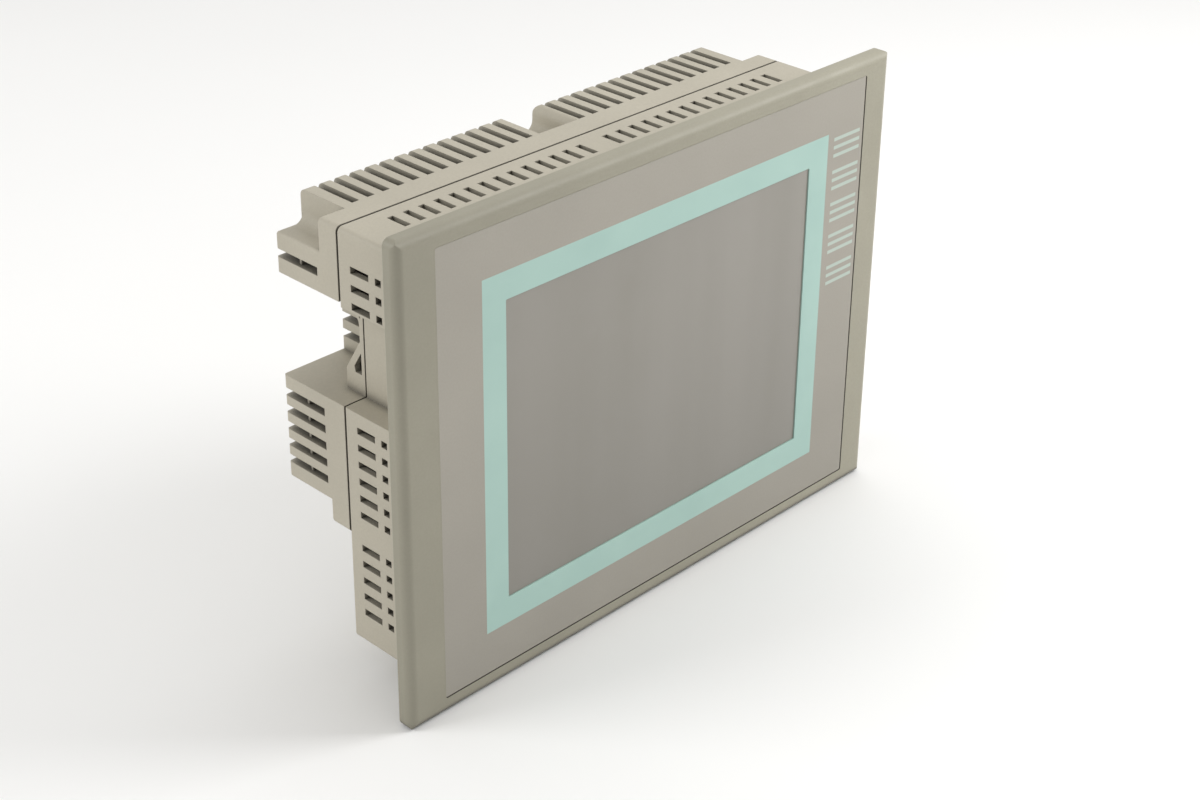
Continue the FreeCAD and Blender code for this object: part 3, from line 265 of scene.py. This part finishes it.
def printed_film(name):
    """Grained polyester film: taupe ground, aqua border round the display and a striped mark at the right."""
    g = Graph(name)
    low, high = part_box("touch_film")
    middle = (low + high) / 2
    x, z = g.axis("X"), g.axis("Z")
    inside_x = near(g, x, middle.x, DISPLAY_W / 2 + BORDER)
    inside_z = near(g, z, middle.z, DISPLAY_H / 2 + BORDER)
    border = g.math("MULTIPLY", inside_x, inside_z)
    group = (MARK_Z[1] - MARK_Z[0]) / MARK_GROUPS
    along = g.math("MODULO", g.math("SUBTRACT", z, MARK_Z[0]), group)
    line = group / (MARK_LINES + 1)
    stripe = g.math("MODULO", along, line)
    drawn = g.math("MULTIPLY", near(g, along, line * MARK_LINES / 2, line * MARK_LINES / 2),
                   g.math("LESS_THAN", stripe, line * MARK_FILL))
    mark = g.math("MULTIPLY", near(g, x, sum(MARK_X) / 2, (MARK_X[1] - MARK_X[0]) / 2),
                  near(g, z, sum(MARK_Z) / 2, (MARK_Z[1] - MARK_Z[0]) / 2))
    mark = g.math("MULTIPLY", mark, drawn)
    ground = g.mix(g.span(g.noise(40 * MM, 3.0), 0.3, 0.7), *TAUPE)
    ground = g.mix(g.span(g.noise(0.8 * MM, 2.0), 0.35, 0.7, 0.0, 0.12), ground, TAUPE_SPECK)
    # painted shade: the film's ground darkens toward its lower edge
    ground = g.mix(g.span(z, *FOOT_Z, 0.16, 0.0), ground, FOOT_SHADE)
    aqua = g.mix(g.span(g.noise(30 * MM, 3.0), 0.3, 0.7), *AQUA)
    colour = g.mix(border, ground, aqua)
    colour = g.mix(g.math("MULTIPLY", mark, 0.8), colour, MARK_COLOUR)
    g.set(Base_Color=colour)
    g.set(Roughness=g.span(g.noise(10 * MM, 4.0), 0.25, 0.75, 0.46, 0.56))
    grain = g.math("ADD", g.noise(0.5 * MM, 2.0), g.math("MULTIPLY", g.cells(0.6 * MM), 0.5))
    g.set(Normal=g.bump(grain, 0.014 * MM))
    return g.material


def display_film(name):
    """The touch film over the dark display: grey anti-glare coat, faint upright bands and finger haze."""
    g = Graph(name)
    bands = g.noise(26 * MM, 2.0, stretch=(1.0, 1.0, 0.08))
    haze = g.noise(35 * MM, 5.0, 0.6)
    colour = g.mix(g.span(bands, 0.3, 0.7), *DISPLAY_GREY)
    colour = g.mix(g.span(haze, 0.45, 0.8, 0.0, 0.25), colour, DISPLAY_HAZE)
    # painted shade: the display darkens toward its lower edge
    colour = g.mix(g.span(g.axis("Z"), *FOOT_Z, 0.34, 0.0), colour, FOOT_SHADE)
    g.set(Base_Color=colour)
    g.set(Roughness=g.span(haze, 0.3, 0.7, 0.34, 0.44))
    g.set(Normal=g.bump(g.noise(0.35 * MM, 2.0), 0.006 * MM))
    g.shader.inputs["Coat Weight"].default_value = 0.25
    g.shader.inputs["Coat Roughness"].default_value = 0.3
    return g.material


def metal(name, colour, rough=0.35, brush=None, edge=0.15 * MM):
    """Plated or bare metal with fine scratches and a dulled, patchy surface."""
    g = Graph(name)
    soft = g.soft_normal(edge)
    patches = g.noise(5 * MM, 5.0, 0.6)
    lines = g.noise(1.2 * MM, 4.0, 0.6, stretch=brush or (1.0, 1.0, 14.0))
    g.set(Base_Color=g.mix(g.span(patches, 0.3, 0.7), times(colour, 0.84), times(colour, 1.08)))
    g.set(Roughness=g.span(lines, 0.3, 0.7, rough - 0.08, rough + 0.12))
    g.set(Normal=g.bump(lines, 0.008 * MM, soft))
    g.shader.inputs["Metallic"].default_value = 1.0
    return g.material


TRACKS_PER_METRE = 420.0
VIA_PITCH = 2.6 * MM
VIA_GOLD = (0.62, 0.55, 0.38)


def board(name, colour):
    """Circuit board: solder mask over a net of copper tracks and rows of vias."""
    g = Graph(name)
    x, z = g.axis("X"), g.axis("Z")
    warp = g.math("MULTIPLY", g.noise(9 * MM, 1.0), 3.0)
    lanes = g.math("FRACT", g.math("ADD", g.math("MULTIPLY", x, TRACKS_PER_METRE), warp))
    cross = g.math("FRACT", g.math("ADD", g.math("MULTIPLY", z, TRACKS_PER_METRE), warp))
    choose = g.math("GREATER_THAN", g.noise(14 * MM, 0.0), 0.5)
    track = g.mix(choose, g.math("LESS_THAN", lanes, 0.45), g.math("LESS_THAN", cross, 0.45))
    vias = g.math("LESS_THAN", g.cells(VIA_PITCH), 0.13)
    base = g.mix(track, colour, times(colour, 1.6))
    base = g.mix(vias, base, VIA_GOLD)
    g.set(Base_Color=base)
    g.set(Roughness=g.span(g.noise(6 * MM), 0.3, 0.7, 0.28, 0.4))
    g.set(Normal=g.bump(track, 0.03 * MM))
    return g.material


def rubber(name, colour):
    g = Graph(name)
    pores = g.cells(0.7 * MM)
    g.set(Base_Color=g.mix(g.span(g.noise(8 * MM), 0.3, 0.7), times(colour, 0.8), times(colour, 1.3)))
    g.set(Roughness=g.span(pores, 0.0, 1.0, 0.75, 0.92))
    g.set(Normal=g.bump(pores, 0.05 * MM))
    return g.material


WIRES_PER_METRE = 1000.0
WIRE_COLOUR = (0.45, 0.24, 0.09)


def flex(name, colour):
    """Amber polyimide with parallel conductors seen through it."""
    g = Graph(name)
    x = g.axis("X")
    wires = g.math("LESS_THAN", g.math("FRACT", g.math("MULTIPLY", x, WIRES_PER_METRE)), 0.55)
    g.set(Base_Color=g.mix(wires, colour, WIRE_COLOUR))
    g.set(Roughness=g.span(g.noise(6 * MM), 0.3, 0.7, 0.22, 0.36))
    g.set(Normal=g.bump(wires, 0.02 * MM))
    return g.material


def clear(name, colour, rough=0.05, transmission=0.9):
    g = Graph(name)
    g.set(Base_Color=g.mix(g.span(g.noise(30 * MM), 0.3, 0.7), times(colour, 0.94), colour))
    g.set(Roughness=g.span(g.noise(12 * MM, 4.0), 0.3, 0.7, rough, rough + 0.06))
    g.shader.inputs["Transmission Weight"].default_value = transmission
    g.shader.inputs["IOR"].default_value = 1.5
    return g.material


HOUSING = (0.440, 0.408, 0.332)
BEZEL = (0.338, 0.320, 0.252)
BEZEL_PAINTED_LIGHT = (0.86, 1.04)       # painted light and shade: the front frame is painted a little darker at its left end and paler toward its right end

SLOTS = {
    "frame_plastic": lambda n: moulded(n, BEZEL, rough=0.5, grain=0.6 * MM, depth=0.02 * MM, wear=0.2,
                                       painted_side_light=BEZEL_PAINTED_LIGHT),
    "housing_plastic": lambda n: moulded(n, HOUSING, rough=0.56),
    "printed_film": printed_film,
    "touch_film": display_film,
    "clear_glass": lambda n: clear(n, (0.86, 0.92, 0.90)),
    "lcd_glass": lambda n: clear(n, (0.10, 0.10, 0.11), 0.12, 0.2),
    "diffuser": lambda n: moulded(n, (0.82, 0.83, 0.84), rough=0.45, depth=0.01 * MM),
    "lamp_glass": lambda n: moulded(n, (0.9, 0.9, 0.88), rough=0.2, depth=0.0, edge=0.1 * MM),
    "seal_rubber": lambda n: rubber(n, (0.03, 0.03, 0.032)),
    "flex_circuit": lambda n: flex(n, (0.60, 0.33, 0.10)),
    "white_plastic": lambda n: moulded(n, (0.80, 0.78, 0.72), rough=0.42, depth=0.01 * MM, edge=0.15 * MM),
    "black_plastic": lambda n: moulded(n, (0.03, 0.03, 0.033), rough=0.45, depth=0.015 * MM, edge=0.15 * MM),
    "plated_steel": lambda n: metal(n, (0.66, 0.66, 0.65), 0.36),
    "screw_steel": lambda n: metal(n, (0.62, 0.62, 0.60), 0.3),
    "circuit_board": lambda n: board(n, (0.02, 0.10, 0.05)),
    "wire_sleeve": lambda n: rubber(n, (0.55, 0.40, 0.38)),
    "aluminium": lambda n: metal(n, (0.75, 0.76, 0.77), 0.4),
    "capacitor_sleeve": lambda n: moulded(n, (0.03, 0.035, 0.07), rough=0.3, depth=0.0, edge=0.2 * MM),
    "cell_steel": lambda n: metal(n, (0.72, 0.72, 0.70), 0.25),
    "connector_green": lambda n: moulded(n, (0.05, 0.24, 0.10), rough=0.42, depth=0.012 * MM, edge=0.2 * MM),
    "contact_brass": lambda n: metal(n, (0.80, 0.62, 0.28), 0.25, edge=0.08 * MM),
    "dip_plastic": lambda n: moulded(n, (0.03, 0.09, 0.35), rough=0.4, depth=0.01 * MM, edge=0.12 * MM),
    "card_plastic": lambda n: moulded(n, (0.035, 0.037, 0.045), rough=0.45, depth=0.012 * MM, edge=0.15 * MM),
    "earth_brass": lambda n: metal(n, (0.72, 0.58, 0.30), 0.32),
}


def dress_nodes():
    """Gives every CAD node the material of its slot."""
    made = {slot: build(slot + "_finish") for slot, build in SLOTS.items()}
    for row in frame["record"]["subparts"]:
        node = frame["nodes"][row["node"]]
        for index in range(len(node.data.materials)):
            node.data.materials[index] = made[row["material_slot"]]
    return made


# ---- earth stud and nut --------------------------------------------------------------------

AROUND = 48                     # points round a turned piece
STUD_R = 1.98 * MM
THREAD_PITCH = 0.7 * MM
THREAD_DEPTH = 0.40 * MM
THREAD_ROWS = 10                # rows of points in each pitch
HEAD_R = 4.0 * MM
HEAD_T = 2.4 * MM
HEAD_BEVEL = 0.25 * MM
NECK = (40.2 * MM, 41.0 * MM)   # the plain neck between the two threads
NUT_FLATS = 7.0 * MM
NUT_BORE = 2.0 * MM
NUT_SINK = 0.3 * MM
NUT_CIRCLE = 0.95 * NUT_FLATS / 2   # radius at which the bevel starts
NUT_BEVEL = [0.07 * MM * k for k in range(7)]
SHARP_ANGLE = math.radians(35)


def turned(name, node, rings, hollow, material):
    """A piece through rings of points round the node's axis along Y. It stands for the node."""
    low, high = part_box(node)
    x, z = (low.x + high.x) / 2, (low.z + high.z) / 2
    points = []
    for y, radii in rings:
        for i, r in enumerate(radii):
            a = 2 * math.pi * i / AROUND
            points.append((x + r * math.cos(a), y, z + r * math.sin(a)))
    faces = []
    for k in range(len(rings) if hollow else len(rings) - 1):
        a, b = k * AROUND, (k + 1) % len(rings) * AROUND
        for i in range(AROUND):
            j = (i + 1) % AROUND
            faces.append((a + i, b + i, b + j, a + j))
    if not hollow:
        last = (len(rings) - 1) * AROUND
        faces.append(tuple(range(AROUND)))
        faces.append(tuple(range(last + AROUND - 1, last - 1, -1)))
    mesh = bpy.data.meshes.new(name)
    mesh.from_pydata(points, [], faces)
    mesh.shade_smooth()
    mesh.set_sharp_from_angle(angle=SHARP_ANGLE)
    mesh.materials.append(material)
    piece = bpy.data.objects.new(name, mesh)
    bpy.context.scene.collection.objects.link(piece)
    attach(piece, "root")
    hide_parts(node)


def thread(y0, y1):
    """Rings of a screw thread from y0 to y1, bevelled at y1."""
    rings = []
    rows = round((y1 - y0) / THREAD_PITCH * THREAD_ROWS)
    for k in range(rows + 1):
        y = y0 + (y1 - y0) * k / rows
        radii = []
        for i in range(AROUND):
            phase = (y / THREAD_PITCH - i / AROUND) % 1.0
            crest = min(1.0, max(0.0, 1.4 * (1 - abs(2 * phase - 1)) - 0.2))
            radii.append(min(STUD_R - THREAD_DEPTH * (1 - crest), STUD_R - THREAD_DEPTH + y1 - y))
        rings.append((y, radii))
    return rings


def make_earth_stud(material):
    """The stud: a round head inside the housing, and a rolled thread on each side of a plain neck."""
    low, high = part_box("earth_stud")
    top = low.y + HEAD_T
    edge = [(low.y, HEAD_R - HEAD_BEVEL), (low.y + HEAD_BEVEL, HEAD_R), (top - HEAD_BEVEL, HEAD_R),
            (top, HEAD_R - HEAD_BEVEL)]
    rings = [(y, [r] * AROUND) for y, r in edge]
    rings += thread(top, NECK[0])
    rings += thread(NECK[1], high.y)
    turned("earth_stud_threaded", "earth_stud", rings, False, material)


def make_earth_nut(material):
    """The nut: six flats, both faces bevelled at 30 degrees so that the corners are cut to a curve."""
    low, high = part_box("earth_nut")
    step = 2 * math.pi / AROUND
    flats = [NUT_FLATS / 2 / math.cos(i * step % (math.pi / 3) - math.pi / 6) for i in range(AROUND)]
    cuts = [[min(r, NUT_CIRCLE + d * math.sqrt(3)) for r in flats] for d in NUT_BEVEL]
    rings = [(low.y + d, cut) for d, cut in zip(NUT_BEVEL, cuts)]
    rings += [(high.y - d, cut) for d, cut in zip(reversed(NUT_BEVEL), reversed(cuts))]
    bore = [(high.y, NUT_BORE + NUT_SINK), (high.y - NUT_SINK, NUT_BORE), (low.y + NUT_SINK, NUT_BORE),
            (low.y, NUT_BORE + NUT_SINK)]
    rings += [(y, [r] * AROUND) for y, r in bore]
    turned("earth_nut_bevelled", "earth_nut", rings, True, material)


# ---- floor and light -----------------------------------------------------------------------

FLOOR_HALF = 6.0
FLOOR_WHITE = ((0.88, 0.88, 0.875), (0.90, 0.90, 0.895))
SKY_COLOUR = (1.0, 0.99, 0.97, 1.0)
SKY_STRENGTH = 0.60
# name, place, aim, size in metres, power in watts
LIGHTS = [
    ("top_light", (0.7, 0.5, 1.3), (0, 0, 0), 1.3, 5.0),
    ("right_light", (0.55, -0.40, 0.50), (0.05, 0, 0.05), 0.35, 4.2),
    ("left_light", (-1.1, 0.7, 0.7), (-0.08, 0.03, 0.02), 0.7, 8.0),
]


def make_floor():
    z = cad_low.z
    mesh = bpy.data.meshes.new("floor")
    corners = [(sx * FLOOR_HALF, sy * FLOOR_HALF, z) for sx, sy in ((-1, -1), (1, -1), (1, 1), (-1, 1))]
    mesh.from_pydata(corners, [], [(0, 1, 2, 3)])
    floor = bpy.data.objects.new("floor", mesh)
    bpy.context.scene.collection.objects.link(floor)
    g = Graph("floor_paper")
    g.set(Base_Color=g.mix(g.span(g.noise(0.4), 0.3, 0.7), *FLOOR_WHITE))
    g.set(Roughness=g.span(g.noise(0.01), 0.0, 1.0, 0.75, 0.85))
    mesh.materials.append(g.material)


def area_light(name, place, aim, size, power):
    data = bpy.data.lights.new(name, "AREA")
    data.shape = "SQUARE"
    data.size = size
    data.energy = power
    light = bpy.data.objects.new(name, data)
    bpy.context.scene.collection.objects.link(light)
    light.location = place
    light.rotation_mode = "QUATERNION"
    light.rotation_quaternion = (Vector(aim) - Vector(place)).to_track_quat("-Z", "Y")


def make_light():
    world = bpy.data.worlds.new("studio")
    world.use_nodes = True
    back = world.node_tree.nodes["Background"]
    back.inputs["Color"].default_value = SKY_COLOUR
    back.inputs["Strength"].default_value = SKY_STRENGTH
    bpy.context.scene.world = world
    for light in LIGHTS:
        area_light(*light)
    bpy.context.scene.view_settings.view_transform = "Standard"


make_camera()
make_floor()
make_light()
finishes = dress_nodes()
make_earth_stud(finishes["earth_brass"])
make_earth_nut(finishes["earth_brass"])
